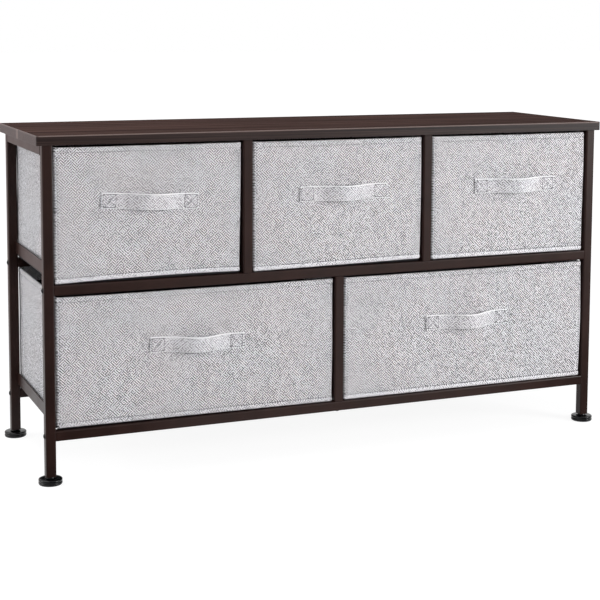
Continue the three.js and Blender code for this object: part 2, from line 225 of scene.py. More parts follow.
def pressedFelt(name, look):
    material, tree = startMaterial(name)
    coords = addNode(tree, "TexCoord", out="Object")
    dots = addNode(tree, "TexVoronoi", {
        "Vector": coords, "Scale": 1 / look["dotPitch"], "Randomness": 0.15}, out="Distance")
    fibres = addNode(tree, "TexNoise", {
        "Vector": coords, "Scale": 1 / look["fibreSize"], "Detail": 6.0, "Roughness": 0.7})
    colour = addNode(tree, "ValToRGB", {"Fac": fibres}, [(0.3, look["colour"]), (0.75, look["light"])])
    relief = addNode(tree, "Bump", {"Height": dots, "Strength": 0.5, "Distance": 0.25 * mm})
    return finishMaterial(material, addNode(tree, "BsdfPrincipled", {
        "Base Color": colour, "Roughness": 0.85, "Specular IOR Level": 0.3, "Normal": relief}))


# Sewing thread: twisted polyester, a little glossier and darker than the tweed it sinks into
threadLook = {"colour": "#3f3d42", "light": "#5b595e", "plyPitch": 0.5 * mm}


def twistedThread(name, look):
    material, tree = startMaterial(name)
    coords = addNode(tree, "TexCoord", out="Object")
    wavesPerMetre = 1 / (look["plyPitch"] * 6.28)   # the wave texture counts in radians
    plies = addNode(tree, "TexWave", {"Vector": coords, "Scale": wavesPerMetre, "Distortion": 1.0},
                    out="Fac", bands_direction="DIAGONAL")
    colour = addNode(tree, "ValToRGB", {"Fac": plies}, [(0.2, look["colour"]), (0.8, look["light"])])
    relief = addNode(tree, "Bump", {"Height": plies, "Strength": 0.4, "Distance": 0.1 * mm})
    return finishMaterial(material, addNode(tree, "BsdfPrincipled", {
        "Base Color": colour, "Roughness": 0.6, "Specular IOR Level": 0.3, "Normal": relief}))


# Powder-coated steel: baked polyester in a dark bronze, satin, with a faint orange peel that breaks the shine
steelLook = {"colour": "#241613", "light": "#2c1b17", "cloudSize": 40 * mm, "peelPitch": 2.5 * mm,
             "roughness": 0.36}


def powderCoat(name, look):
    material, tree = startMaterial(name)
    coords = addNode(tree, "TexCoord", out="Object")
    cloud = addNode(tree, "TexNoise", {"Vector": coords, "Scale": 1 / look["cloudSize"], "Detail": 3.0})
    colour = addNode(tree, "ValToRGB", {"Fac": cloud}, [(0.3, look["colour"]), (0.7, look["light"])])
    gloss = addNode(tree, "MapRange", {
        "Value": cloud, "To Min": look["roughness"] - 0.06, "To Max": look["roughness"] + 0.08})
    peel = addNode(tree, "TexNoise", {"Vector": coords, "Scale": 1 / look["peelPitch"], "Detail": 2.0})
    relief = addNode(tree, "Bump", {"Height": peel, "Strength": 0.25, "Distance": 0.08 * mm})
    return finishMaterial(material, addNode(tree, "BsdfPrincipled", {
        "Base Color": colour, "Roughness": gloss, "Specular IOR Level": 0.18, "Normal": relief}))


# Espresso laminate: printed melamine paper, pressed matt with fine pores; streaks run along the grain.
# The edge band is the same print, darker and smoother, so it mirrors a little
laminateLook = {
    "streakWidth": 1.9 * mm,
    "streakLength": 230 * mm,
    "bandWidth": 15 * mm,
    "bandLength": 800 * mm,
    "bandShare": 0.45,
    "poreWidth": 0.9 * mm,
    "poreLength": 28 * mm,
    "dark": "#251816",
    "middle": "#46332f",
    "light": "#684e46",
    "roughness": 0.78,
    "specular": 0.01,
}
bandLook = dict(laminateLook, dark="#160e0d", middle="#241816", light="#372926",
                roughness=0.38, specular=0.22)
bandLow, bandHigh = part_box("top_edge_band")
# Marks painted on the edge band: pale is a painted highlight along the eased top edge and beside the butt
# joint, deep a painted shadow on the joint's other side
bandMarks = {
    "top": bandHigh.z,
    "arris": 2.0 * mm,
    "end": bandHigh.x,
    "frontHighlightShare": 0.6,
    "endHighlightShare": 0.3,
    "pale": "#8f7c76",
    "deep": "#070504",
    "joint": (bandLow.y + bandHigh.y) / 2 - 13 * mm,
    "highlightEnd": 19 * mm,
    "highlightEndShare": 0.32,
    "shadowedEnd": 8 * mm,
    "shadowedShare": 1.0,
}


def markBand(tree, coords, colour, marks):
    # Painted highlight: a paler line along the eased top edge of the band, and a paler strip on the end
    # beside its butt joint; painted shadow: a dark strip on the joint's other side
    x, y, z = addNode(tree, "SeparateXYZ", {0: coords}, out=None)
    edge = addNode(tree, "MapRange", {
        "Value": z, "From Min": marks["top"] - marks["arris"],
        "From Max": marks["top"] - marks["arris"] * 0.6})
    fromMiddle = addNode(tree, "Math", {0: x}, operation="ABSOLUTE")
    arrisHighlightShare = addNode(tree, "MapRange", {
        "Value": fromMiddle, "From Min": marks["end"] - 5 * mm, "From Max": marks["end"] - 3 * mm,
        "To Min": marks["frontHighlightShare"], "To Max": marks["endHighlightShare"]})
    leftEnd = addNode(tree, "Math", {0: x, 1: 0.0}, operation="LESS_THAN")
    masks = [(edge, marks["pale"], arrisHighlightShare)]
    for start, end, tint, share in ((0.0, marks["highlightEnd"], "pale", marks["highlightEndShare"]),
                                    (-marks["shadowedEnd"], 0.0, "deep", marks["shadowedShare"])):
        middle, halfSpan = marks["joint"] + (start + end) / 2, (end - start) / 2
        near = addNode(tree, "Math", {0: y, 1: middle, 2: halfSpan}, operation="COMPARE")
        both = addNode(tree, "Math", {0: near, 1: leftEnd}, operation="MULTIPLY")
        masks.append((both, marks[tint], share))
    for mask, tint, share in masks:
        factor = addNode(tree, "Math", {0: mask, 1: share}, operation="MULTIPLY")
        colour = addNode(tree, "Mix", {0: factor, 6: colour, 7: linear(tint)}, out=2, data_type="RGBA")
    return colour


def espressoLaminate(name, look, marks=None):
    material, tree = startMaterial(name)
    coords = addNode(tree, "TexCoord", out="Object")

    def stretched(length, width, detail):
        scaled = addNode(tree, "Mapping", {"Vector": coords, "Scale": (1 / length, 1 / width, 1 / width)})
        return addNode(tree, "TexNoise", {"Vector": scaled, "Scale": 1.0, "Detail": detail, "Roughness": 0.6})

    streaks = stretched(look["streakLength"], look["streakWidth"], 3.0)
    bands = stretched(look["bandLength"], look["bandWidth"], 2.0)
    pores = stretched(look["poreLength"], look["poreWidth"], 1.0)
    grain = addNode(tree, "Mix", {"Factor": look["bandShare"], "A": streaks, "B": bands})
    colour = addNode(tree, "ValToRGB", {"Fac": grain}, [
        (0.37, look["dark"]), (0.5, look["middle"]), (0.63, look["light"])])
    poreMask = addNode(tree, "MapRange", {"Value": pores, "From Min": 0.3, "From Max": 0.42})
    relief = addNode(tree, "Bump", {"Height": poreMask, "Strength": 0.3, "Distance": 0.1 * mm})
    if marks:
        colour = markBand(tree, coords, colour, marks)
    return finishMaterial(material, addNode(tree, "BsdfPrincipled", {
        "Base Color": colour, "Roughness": look["roughness"], "Specular IOR Level": look["specular"],
        "Normal": relief}))


# Moulded black plastic: polypropylene out of a polished mould, so it mirrors softly
footLook = {"colour": "#08080a", "roughness": 0.1, "flowSize": 9 * mm}
plugLook = dict(footLook, colour="#161616", roughness=0.55)


def mouldedPlastic(name, look):
    material, tree = startMaterial(name)
    coords = addNode(tree, "TexCoord", out="Object")
    flow = addNode(tree, "TexNoise", {"Vector": coords, "Scale": 1 / look["flowSize"], "Detail": 3.0})
    gloss = addNode(tree, "MapRange", {
        "Value": flow, "To Min": look["roughness"] - 0.04, "To Max": look["roughness"] + 0.06})
    relief = addNode(tree, "Bump", {"Height": flow, "Strength": 0.06, "Distance": 0.1 * mm})
    return finishMaterial(material, addNode(tree, "BsdfPrincipled", {
        "Base Color": linear(look["colour"]), "Roughness": gloss, "IOR": 1.49, "Specular IOR Level": 0.3,
        "Normal": relief}))


# Blackened and zinc-plated steel: turned fasteners with fine lathe marks
boltLook = {"colour": "#1b1919", "metallic": 0.7, "roughness": 0.38, "markSize": 1.5 * mm}
zincLook = dict(boltLook, colour="#a8a9ab", metallic=1.0, roughness=0.32)


def turnedSteel(name, look):
    material, tree = startMaterial(name)
    coords = addNode(tree, "TexCoord", out="Object")
    scuffs = addNode(tree, "TexNoise", {"Vector": coords, "Scale": 1 / look["markSize"], "Detail": 4.0})
    gloss = addNode(tree, "MapRange", {
        "Value": scuffs, "To Min": look["roughness"] - 0.1, "To Max": look["roughness"] + 0.12})
    return finishMaterial(material, addNode(tree, "BsdfPrincipled", {
        "Base Color": linear(look["colour"]), "Metallic": look["metallic"], "Roughness": gloss}))


# Painted highlight and painted shade: pressed edges and straps are drawn lighter than the face for the light
# they catch, and a stitched groove darker for its shade
tweed = wovenTweed("wovenTweed", tweedLook, contrast=1.1)
foldHighlightTweed = wovenTweed("wovenTweedFoldHighlight", tweedLook, contrast=0.7, lift=0.11)
softFoldHighlightTweed = wovenTweed("wovenTweedSoftFoldHighlight", tweedLook, contrast=0.95, lift=0.05)
seamShadeTweed = wovenTweed("wovenTweedSeamShade", tweedLook, contrast=0.85, lift=-0.11)
strapHighlightTweed = wovenTweed("wovenTweedStrap", tweedLook, contrast=0.75, lift=0.05, depthShare=0.0)
strapEdgeHighlightTweed = wovenTweed("wovenTweedStrapEdgeHighlight", tweedLook, contrast=0.5, lift=0.3, depthShare=0.0)
lining = pressedFelt("spunBondedLining", liningLook)
boardCover = pressedFelt("spunBondedBoardCover", boardCoverLook)
thread = twistedThread("polyesterThread", threadLook)
paintedSteel = powderCoat("powderCoatedSteel", steelLook)
laminate = espressoLaminate("melamineLaminate", laminateLook)
edgeLaminate = espressoLaminate("melamineEdgeBand", bandLook, bandMarks)
glossyPlastic = mouldedPlastic("mouldedPolypropyleneGloss", footLook)
mattPlastic = mouldedPlastic("mouldedNylonMatt", plugLook)
blackenedSteel = turnedSteel("blackenedSteel", boltLook)
zincSteel = turnedSteel("zincPlatedSteel", zincLook)
print("materials ready")


# Frame nodes that keep their own shape and take a finer finish; the first start of a name that fits counts
frameFinishes = [
    ("top_board", laminate),
    ("top_edge_band", edgeLaminate),
    ("leg_plug", mattPlastic),
    (("leg_", "side_rung", "guide_bar", "divider_rung", "upper_post", "lower_post", "bottom_rail",
      "mid_rail"), paintedSteel),
]
for name, node in nodes.items():
    finish = next((finish for start, finish in frameFinishes if name.startswith(start)), None)
    if finish:
        node.data.materials.clear()
        node.data.materials.append(finish)
print("frame dressed")


# Fabric bins: tweed over stiff boards, with a pressed fold round the foot and a hem round the mouth
binSizes = {
    "corner": 4 * mm,
    "frontWall": 5 * mm,
    "sideWall": 3 * mm,
    "floor": 2.5 * mm,
    "footFold": 8 * mm,
    "hemLine": 8.5 * mm,
    "edgeSeam": 4.5 * mm,
    "insideHem": 22 * mm,
    "meshStep": 6 * mm,
    "cornerSteps": 5,
    "stitchPitch": 4.2 * mm,
    "stitchLength": 2.9 * mm,
}
# How the fabric lies on the boards: slow swells and small creases, sewn grooves and the puckers beside them
fabricLie = {
    "frontBack": 0.5 * mm,
    "frontSlack": 0.35 * mm,
    "sideSlack": 0.8 * mm,
    "swellSize": 110 * mm,
    "heldAtFoot": 20 * mm,
    "heldAtMouth": 14 * mm,
    "creaseDepth": 0.16 * mm,
    "creaseSize": 22 * mm,
    "rearBulge": 0.3 * mm,
    "footGroove": (1.05 * mm, 0.9 * mm),
    "hemGroove": (0.8 * mm, 0.8 * mm),
    "seamGroove": (0.7 * mm, 0.8 * mm),
    "foldRound": 0.75 * mm,
    "hemRaise": 0.35 * mm,
    "puckerDepth": 0.13 * mm,
    "puckerPitch": 8.5 * mm,
    "puckerReach": 4 * mm,
    "seamPuckerDepth": 0.1 * mm,
    "seamPuckerPitch": 8 * mm,
    "edgeShiftFade": 110 * mm,
    "curlDepth": 16 * mm,
    "curlHeight": 55 * mm,
    "mouthDip": 0.5 * mm,
    "mouthWave": 0.25 * mm,
    "sideRise": 2.0 * mm,
}
# Shifts of the front's edges are in mm and run foot, middle, mouth; + is to the right.
# footLift, in mm at the front's left, middle and right, is how far its lower edge curls up off the rail.
# Each drawer's fold finish is the tweed painted lighter on its front's foot fold, as a painted highlight.
drawers = {
    "upper_left": {"leftEdge": (0, 0, 0), "rightEdge": (-2.6, -1.0, 0), "strapTilt": -2.5,
                   "footLift": (0.8, 4.5, 3.4), "foldHighlightFinish": foldHighlightTweed},
    "upper_middle": {"leftEdge": (0.5, 0, 0), "rightEdge": (-0.6, 0, 0), "strapTilt": 0.3,
                     "footLift": (0.8, 2.6, 4.8), "foldHighlightFinish": foldHighlightTweed},
    "upper_right": {"leftEdge": (0, 0.4, 0), "rightEdge": (-1.4, -0.3, -0.6), "strapTilt": 0.0,
                    "footLift": (1.6, 1.5, 1.0), "foldHighlightFinish": foldHighlightTweed},
    "lower_left": {"leftEdge": (0, 0.3, 0), "rightEdge": (-0.6, 0, 0), "strapTilt": -1.6,
                   "footLift": (3.0, 1.9, 0.4), "foldHighlightFinish": softFoldHighlightTweed},
    "lower_right": {"leftEdge": (0.4, 0, 0), "rightEdge": (-1.0, 1.2, -1.2), "strapTilt": 0.2,
                    "footLift": (0.7, 0.6, 0.4), "foldHighlightFinish": foldHighlightTweed},
}


def outlinePoint(place, xLow, xHigh, yLow, yHigh, radius):
    # place runs 0 to 8: even parts are the front, right, rear and left sides, odd parts the corners between
    part, share = int(place) % 8, place - int(place)
    centres = [(xHigh - radius, yLow + radius), (xHigh - radius, yHigh - radius),
               (xLow + radius, yHigh - radius), (xLow + radius, yLow + radius)]
    if part % 2:
        cx, cy = centres[part // 2]
        angle = math.pi / 2 * (part // 2 - 1 + share)
        nx, ny = math.cos(angle), math.sin(angle)
        return cx + radius * nx, cy + radius * ny, nx, ny
    nx, ny = [(0, -1), (1, 0), (0, 1), (-1, 0)][part // 2]
    fromX, fromY = centres[part // 2 - 1]
    toX, toY = centres[part // 2]
    x, y = fromX + (toX - fromX) * share, fromY + (toY - fromY) * share
    return x + radius * nx, y + radius * ny, nx, ny


def threeStep(values, share):
    # A smooth curve through three values, at shares of 0, a half and 1
    low, middle, high = values
    return (low * (1 - share) * (1 - 2 * share) + middle * 4 * share * (1 - share)
            + high * share * (2 * share - 1))


def groove(size, distance):
    depth, width = size
    return depth * bell(distance, width)


def skinPoint(drawer, place, z, inset=0.0):
    # A point of the outer skin, with its outward direction, slack, folds and seams; z is above the foot.
    # The curl of the front's lower edge dies away over the inset, so the bin still stands on its rails
    low, high, seed, lie = drawer["low"], drawer["high"], drawer["seed"], fabricLie
    x, y, nx, ny = outlinePoint(place, low.x, high.x, low.y, high.y, binSizes["corner"])
    height = high.z - low.z
    share = z / height
    front, fromLow, fromTop = max(0.0, -ny), z - binSizes["footFold"], height - binSizes["hemLine"] - z
    slack = lie["frontSlack"] * front + lie["sideSlack"] * (1 - front)
    calm = ease(z / lie["heldAtFoot"]) * ease((height - z) / lie["heldAtMouth"])
    swell = 0.5 * (1 - front) + 1.6 * drift(x + seed, y, z, lie["swellSize"])
    out = slack * calm * swell - lie["frontBack"] * front
    out += lie["creaseDepth"] * drift(x, y + seed, z, lie["creaseSize"])
    out += lie["rearBulge"] * abs(nx) * ease((y - high.y) / (60 * mm) + 1.2)
    out -= groove(lie["footGroove"], fromLow) + groove(lie["hemGroove"], fromTop)
    if fromLow < 0:
        out += lie["foldRound"] * math.sin(math.pi * min(1.0, max(0.0, z / binSizes["footFold"])))
    if fromTop < 0:
        out += lie["hemRaise"]
    along = x if abs(ny) > 0.5 else y
    pucker = math.sin(along / lie["puckerPitch"] * 2 * math.pi + 2.5 * drift(x, y, seed, 40 * mm))
    near = bell(fromLow - 3 * mm, lie["puckerReach"]) + 0.7 * bell(fromTop - 2.5 * mm, lie["puckerReach"])
    out += lie["puckerDepth"] * pucker * near
    if front > 0.9:
        edge = min(x - low.x, high.x - x) - binSizes["edgeSeam"]
        out -= groove(lie["seamGroove"], edge)
        pucker = math.sin(z / lie["seamPuckerPitch"] * 2 * math.pi)
        out += lie["seamPuckerDepth"] * pucker * bell(edge - 2.5 * mm, 3 * mm)
    # The front's edges wander, and the shift fades out towards the rear
    side = (x - (low.x + high.x) / 2) / ((high.x - low.x) / 2)
    behind = y - low.y
    edgeShift = drawer["rightEdge"] if side > 0 else drawer["leftEdge"]
    x += threeStep(edgeShift, share) * mm * ease(abs(side)) * ease(1 - behind / lie["edgeShiftFade"])
    curl = threeStep(drawer["footLift"], (side + 1) / 2) * mm * ease(1 - behind / lie["curlDepth"])
    lift = curl * (1 - ease(z / lie["curlHeight"])) * (1 - ease((inset - 0.5 * mm) / (3.8 * mm)))
    # The mouth hangs a little between its corners, rises at the sides and isn't quite even
    dip = lie["mouthDip"] * (1 - side * side) * ease(share * 3 - 2)
    dip -= lie["sideRise"] * (1 - front) * ease(behind / (30 * mm)) * ease(share * 8 - 7)
    wave = lie["mouthWave"] * drift(x, y, seed, 60 * mm) * ease(share * 6 - 5)
    return Vector((x + nx * out, y + ny * out, low.z + z + lift - dip + wave)), Vector((nx, ny, 0))


def outlinePlaces(xLength, yLength):
    # Where the skin's mesh lines fall round a bin: closer at the seams near the front's edges
    places = []
    for side, length in enumerate((xLength, yLength, xLength, yLength)):
        straight = length - 2 * binSizes["corner"]
        steps = max(2, round(straight / binSizes["meshStep"]))
        shares = [i / steps for i in range(steps)]
        if side == 0:
            seam = [s * mm / straight for s in (0.5, 1.0, 1.6, 2.4, 3.6)]
            shares = sorted(shares + seam + [1 - s for s in seam])
        places += [2 * side + s for s in shares]
        places += [2 * side + 1 + i / binSizes["cornerSteps"] for i in range(binSizes["cornerSteps"])]
    return places


def buildBin(name, drawer):
    low, high = drawer["low"], drawer["high"]
    height = high.z - low.z
    places = outlinePlaces(high.x - low.x, high.y - low.y)
    side, insideCorner = binSizes["sideWall"], 2 * mm

    def outer(z, inset=0.0):
        ring = []
        for place in places:
            point, outward = skinPoint(drawer, place, z, inset)
            ring.append(point - outward * inset)
        return ring

    def inner(z, inset=0.0):
        ring = []
        for place in places:
            x, y, nx, ny = outlinePoint(
                place, low.x + side + inset, high.x - side - inset, low.y + binSizes["frontWall"] + inset,
                high.y - side - inset, insideCorner)
            outside, outward = skinPoint(drawer, place, z, binSizes["frontWall"])
            base = outlinePoint(place, low.x, high.x, low.y, high.y, binSizes["corner"])
            give = 0.5 * drift(x, y, z, 90 * mm) * mm * ease(z / (30 * mm))
            ring.append(Vector((x + outside.x - base[0] + nx * give, y + outside.y - base[1] + ny * give,
                                outside.z)))
        return ring

    # Rows lie closest round the stitched grooves; their heights in mm count from the foot and the hem's line
    hem = height - binSizes["hemLine"]
    faceLow, faceHigh = 14 * mm, hem - 4 * mm
    rings = [outer(0, 14 * mm), outer(0, 5 * mm), outer(0, 2.2 * mm), outer(0.3 * mm, 1.0 * mm),
             outer(1.0 * mm, 0.3 * mm)]
    rings += [outer(z * mm) for z in (2.2, 3.6, 5.0, 6.3, 7.0, 7.5, 8.0, 8.5, 9.1, 10.0, 11.5, 14.0)]
    steps = round((faceHigh - faceLow) / binSizes["meshStep"])
    rings += [outer(faceLow + (faceHigh - faceLow) * i / steps) for i in range(1, steps + 1)]
    rings += [outer(hem + d * mm) for d in (-2.6, -1.6, -1.0, -0.5, 0, 0.5, 1.0, 1.7, 3.0, 4.8, 6.4, 7.4)]
    seamRow = len(rings) - 8
    rings += [outer(height - 0.35 * mm, 0.25 * mm), outer(height, 0.9 * mm), outer(height, 1.9 * mm)]
    inside = height - binSizes["insideHem"]
    rings += [inner(height, -0.9 * mm), inner(height - 0.5 * mm, -0.2 * mm), inner(height - 1.6 * mm),
              inner(height - 6 * mm), inner(height - 12 * mm), inner(inside + 1 * mm),
              inner(inside, 0.5 * mm)]
    hemRows = len(rings) - 1
    deep = inside - binSizes["floor"]
    rings += [inner(binSizes["floor"] + deep * (1 - i / 14), 0.5 * mm) for i in range(1, 15)]
    bottomRows, foldRows, grooveRows = 3, 9, 3
    roundRight, roundLeft = 1.7, 7.1   # places round the corners where the fold's tweed ends

    def finishAt(row, column):
        # Felt covers the bottom and turns up behind the front; the fold and the seams show on the tweed, the
        # seams' rows in a darker tweed as painted shade
        # The felt on the bottom's rounded lower edge also stands as painted shade in the gap under the
        # front's curled edge
        if row < bottomRows or row >= hemRows:
            return 1
        if row < foldRows:
            # Round the front the fold takes the fold finish, a tweed painted lighter as a highlight; along
            # the sides and rear its rows take the dark felt as painted shade
            return 2 if places[column] < roundRight or places[column] > roundLeft else 1
        return 3 if row < foldRows + grooveRows or row in (seamRow - 1, seamRow) else 0

    print("  ", name, "shell,", len(rings), "x", len(places))
    return loftPiece(name + "Shell", rings, [tweed, lining, drawer["foldHighlightFinish"], seamShadeTweed], finishAt,
                     creaseDegrees=60)


# Stitches: short lens-shaped floats of thread, each sunk at both ends
def stitchMesh(name, stitches, radius=0.36 * mm):
    points, faces = [], []
    rings = [(-0.36, 0.55), (-0.2, 0.95), (0.2, 0.95), (0.36, 0.55)]   # shares of the length and the radius
    sides, sunk, flattened = 6, 0.6, 0.8
    for start, end, outward in stitches:
        along = end - start
        across = outward.cross(along).normalized()
        centre = (start + end) / 2
        first = len(points)
        points.append(centre - along * 0.5 - outward * radius * sunk)
        for share, thick in rings:
            for k in range(sides):
                angle = 2 * math.pi * k / sides
                points.append(centre + along * share + across * radius * thick * math.cos(angle)
                              + outward * radius * thick * flattened * math.sin(angle))
        points.append(centre + along * 0.5 - outward * radius * sunk)
        last = len(points) - 1
        for k in range(sides):
            j = (k + 1) % sides
            faces.append((first, first + 1 + j, first + 1 + k))
            for row in range(len(rings) - 1):
                a, b = first + 1 + row * sides, first + 1 + (row + 1) * sides
                faces.append((a + k, a + j, b + j, b + k))
            a = first + 1 + (len(rings) - 1) * sides
            faces.append((last, a + k, a + j))
    return meshPiece(name, points, faces, [thread], creaseDegrees=80)


def binStitches(drawer):
    low, high = drawer["low"], drawer["high"]
    height = high.z - low.z
    pitch, length = binSizes["stitchPitch"], binSizes["stitchLength"]
    stitches = []
    lengths = [high.x - low.x, high.y - low.y] * 2
    for z in (binSizes["footFold"], height - binSizes["hemLine"]):
        for side in range(4):
            straight = lengths[side] - 2 * binSizes["corner"]
            count = int((straight - 2 * mm) / pitch)
            for i in range(count):
                start = 1 * mm + i * pitch
                a, outward = skinPoint(drawer, 2 * side + start / straight, z)
                b, _ = skinPoint(drawer, 2 * side + (start + length) / straight, z)
                stitches.append((a, b, outward))
    straight = lengths[0] - 2 * binSizes["corner"]
    inward = (binSizes["edgeSeam"] - binSizes["corner"]) / straight
    for place in (inward, 1 - inward):
        for i in range(int((height - 24 * mm) / pitch)):
            z = 12 * mm + i * pitch
            a, outward = skinPoint(drawer, place, z)
            b, _ = skinPoint(drawer, place, z + length)
            stitches.append((a, b, outward))
    return stitches


# Strap handles: one tweed band with both ends turned under, boxed and crossed with thread
strapSizes = {
    "halfWidth": 12.5 * mm,
    "thickness": 1.5 * mm,
    "underMiddle": 0.8 * mm,
    "overMiddle": 2.4 * mm,
    "halfFree": 53 * mm,
    "halfLength": 78 * mm,
    "bow": 20 * mm,
    "sag": -0.4 * mm,
    "lean": 0.10,
    "edgeRoll": 1.8 * mm,
    "boxInset": 2.3 * mm,
    "edgeRound": 0.8 * mm,
    "thinnest": 0.12 * mm,
    "rollRaise": (0.16 * mm, 1.1 * mm),
    "rollGroove": (0.12 * mm, 0.6 * mm),
    "stitchGroove": (0.5 * mm, 0.8 * mm),
    "stitchPitch": 3.4 * mm,
    "stitchLength": 2.8 * mm,
    "stitchRadius": 0.65 * mm,
    "padSteps": 24,
    "freeSteps": 44,
    "acrossSteps": 26,
}


def strapBow(x):
    if abs(x) >= strapSizes["halfFree"]:
        return 0.0
    return 0.5 * (1 + math.cos(math.pi * x / strapSizes["halfFree"]))


def boxDistance(x, w):
    # Distance from a point of a sewn end to the nearest line of its box and cross
    half = (strapSizes["halfLength"] - strapSizes["halfFree"]) / 2
    u = abs(x) - strapSizes["halfFree"] - half
    reachX, reachW = half - strapSizes["boxInset"], strapSizes["halfWidth"] - strapSizes["boxInset"]
    if abs(u) > reachX + 3 * mm or abs(w) > reachW + 3 * mm:
        return 1.0
    box = min(abs(abs(u) - reachX), abs(abs(w) - reachW))
    slope = reachW / reachX
    cross = abs(abs(w) - abs(u) * slope) / math.hypot(1, slope)
    return min(box, cross)


def strapPlace(drawer, x, w, out):
    # From the strap's own axes (along, across, outward) to the dresser's
    bow = strapBow(x)
    lean = strapSizes["lean"] * bow * w
    turn = math.radians(drawer["strapTilt"])
    down = strapSizes["sag"] * bow
    sx = drawer["strapX"] + x * math.cos(turn) - w * math.sin(turn)
    sz = drawer["strapZ"] + x * math.sin(turn) + w * math.cos(turn) - down
    low, high = drawer["low"], drawer["high"]
    place = (sx - low.x - binSizes["corner"]) / (high.x - low.x - 2 * binSizes["corner"])
    skin, _ = skinPoint(drawer, place, sz - low.z)
    return Vector((sx, skin.y - out - lean, sz))


def buildStrap(name, drawer):
    s = strapSizes
    path = []   # along, outward, direction along, direction outward, layer
    foldX, foldMiddle = s["halfLength"] - 0.8 * mm, (s["underMiddle"] + s["overMiddle"]) / 2
    foldRadius, padSteps, foldSteps = (s["overMiddle"] - s["underMiddle"]) / 2, s["padSteps"], 7
    padLength = foldX - s["halfFree"]
    for i in range(padSteps):
        path.append((-s["halfFree"] - padLength * i / padSteps, s["underMiddle"], 0.0, -1.0, 0))
    for i in range(foldSteps):
        angle = -math.pi / 2 - math.pi * i / (foldSteps - 1)
        path.append((-foldX + foldRadius * math.cos(angle), foldMiddle + foldRadius * math.sin(angle),
                     math.cos(angle), math.sin(angle), 1))
    for i in range(1, padSteps):
        path.append((-foldX + padLength * i / padSteps, s["overMiddle"], 0.0, 1.0, 2))
    half = [(-x, out, -nx, ny, layer) for x, out, nx, ny, layer in path]
    for i in range(s["freeSteps"] + 1):
        x = -s["halfFree"] + 2 * s["halfFree"] * i / s["freeSteps"]
        slope = -s["bow"] * math.pi * math.sin(math.pi * x / s["halfFree"]) / (2 * s["halfFree"])
        stretch = math.hypot(1, slope)
        path.append((x, s["overMiddle"] + s["bow"] * strapBow(x), -slope / stretch, 1 / stretch, 3))
    path += reversed(half)
    across = s["acrossSteps"]
    rings = []
    # The rolled edges of the band take a paler, smoother tweed than its face, as a painted highlight where
    # they catch the light
    highlightEdgeColumns = [i for i in range(2 * across + 2) if min(i % (across + 1), across - i % (across + 1)) < 2]
    for x, out, nx, ny, layer in path:
        ring = []
        for face in (1, -1):
            for i in range(across + 1):
                w = face * s["halfWidth"] * (1 - 2 * i / across)
                edge = s["halfWidth"] - abs(w)
                rounded = 1 - min(1.0, edge / s["edgeRound"])
                thick = max(s["thickness"] / 2 * math.sqrt(max(0.0, 1 - rounded ** 2)), s["thinnest"])
                thick += groove(s["rollRaise"], edge - s["edgeRoll"] / 2)
                thick -= groove(s["rollGroove"], edge - s["edgeRoll"] - 0.6 * mm)
                if face > 0 and layer == 2:
                    thick -= groove(s["stitchGroove"], boxDistance(x, w))
                thick += 0.07 * mm * drift(x + drawer["seed"], out, w, 9 * mm)
                ring.append(strapPlace(drawer, x + face * nx * thick, w, out + face * ny * thick))
        rings.append(ring)
    return loftPiece(name + "Strap", rings, [strapHighlightTweed, strapEdgeHighlightTweed],
                     lambda row, column: int(column in highlightEdgeColumns), creaseDegrees=70)


def strapStitches(drawer):
    s = strapSizes
    half = (s["halfLength"] - s["halfFree"]) / 2
    reachX, reachW = half - s["boxInset"], s["halfWidth"] - s["boxInset"]
    corners = [(-reachX, -reachW), (reachX, -reachW), (reachX, reachW), (-reachX, reachW), (-reachX, -reachW),
               (reachX, reachW)]
    runs = list(zip(corners, corners[1:])) + [((reachX, -reachW), (-reachX, reachW))]
    stitches = []
    for side in (-1, 1):
        middle = side * (s["halfFree"] + half)
        for (fromX, fromW), (toX, toW) in runs:
            run = math.hypot(toX - fromX, toW - fromW)
            count = round(run / s["stitchPitch"])
            for i in range(count):
                at = (i + 0.5) / count
                reach = s["stitchLength"] / run / 2
                ends = []
                for share in (at - reach, at + reach):
                    x = middle + fromX + (toX - fromX) * share
                    w = fromW + (toW - fromW) * share
                    ends.append(strapPlace(drawer, x, w, s["overMiddle"] + s["thickness"] / 2 - 0.2 * mm))
                stitches.append((ends[0], ends[1], Vector((0, -1, 0))))
    return stitches


# Base boards: fibreboard sewn into felt, with rounded edges and a pressed line round the top
boardSizes = {"corner": 3 * mm, "line": 9 * mm, "meshStep": 8 * mm}


def buildBaseBoard(name, low, high, seed):
    places = []
    for side, length in enumerate((high.x - low.x, high.y - low.y) * 2):
        steps = round((length - 2 * boardSizes["corner"]) / boardSizes["meshStep"])
        places += [2 * side + i / steps for i in range(steps)]
        places += [2 * side + 1 + i / 5 for i in range(5)]

    def ring(inset, z):
        radius = max(0.4 * mm, boardSizes["corner"] - inset)
        points = []
        for place in places:
            x, y, _, _ = outlinePoint(
                place, low.x + inset, high.x - inset, low.y + inset, high.y - inset, radius)
            sag = 0.25 * mm * drift(x + seed, y, z, 70 * mm) * ease(inset / (20 * mm))
            points.append((x, y, z + sag))
        return points

    half = (high.z - low.z) / 2
    middle = low.z + half
    rings = [ring(30 * mm, low.z + 0.1 * mm), ring(1.2 * mm, low.z)]
    for i in range(7):
        angle = -math.pi / 2 + math.pi * i / 6
        rings.append(ring(half * (1 - math.cos(angle)), middle + half * math.sin(angle)))
    line = boardSizes["line"]
    for inset, drop in ((3 * mm, 0.0), (line - 1.5 * mm, 0.0), (line - 0.5 * mm, 0.35 * mm),
                        (line + 0.5 * mm, 0.35 * mm), (line + 1.5 * mm, 0.0), (20 * mm, -0.1 * mm),
                        (40 * mm, -0.2 * mm), (70 * mm, -0.2 * mm), (100 * mm, -0.2 * mm)):
        rings.append(ring(inset, high.z - 0.25 * mm - drop))
    return loftPiece(name + "BaseBoard", rings, [boardCover])


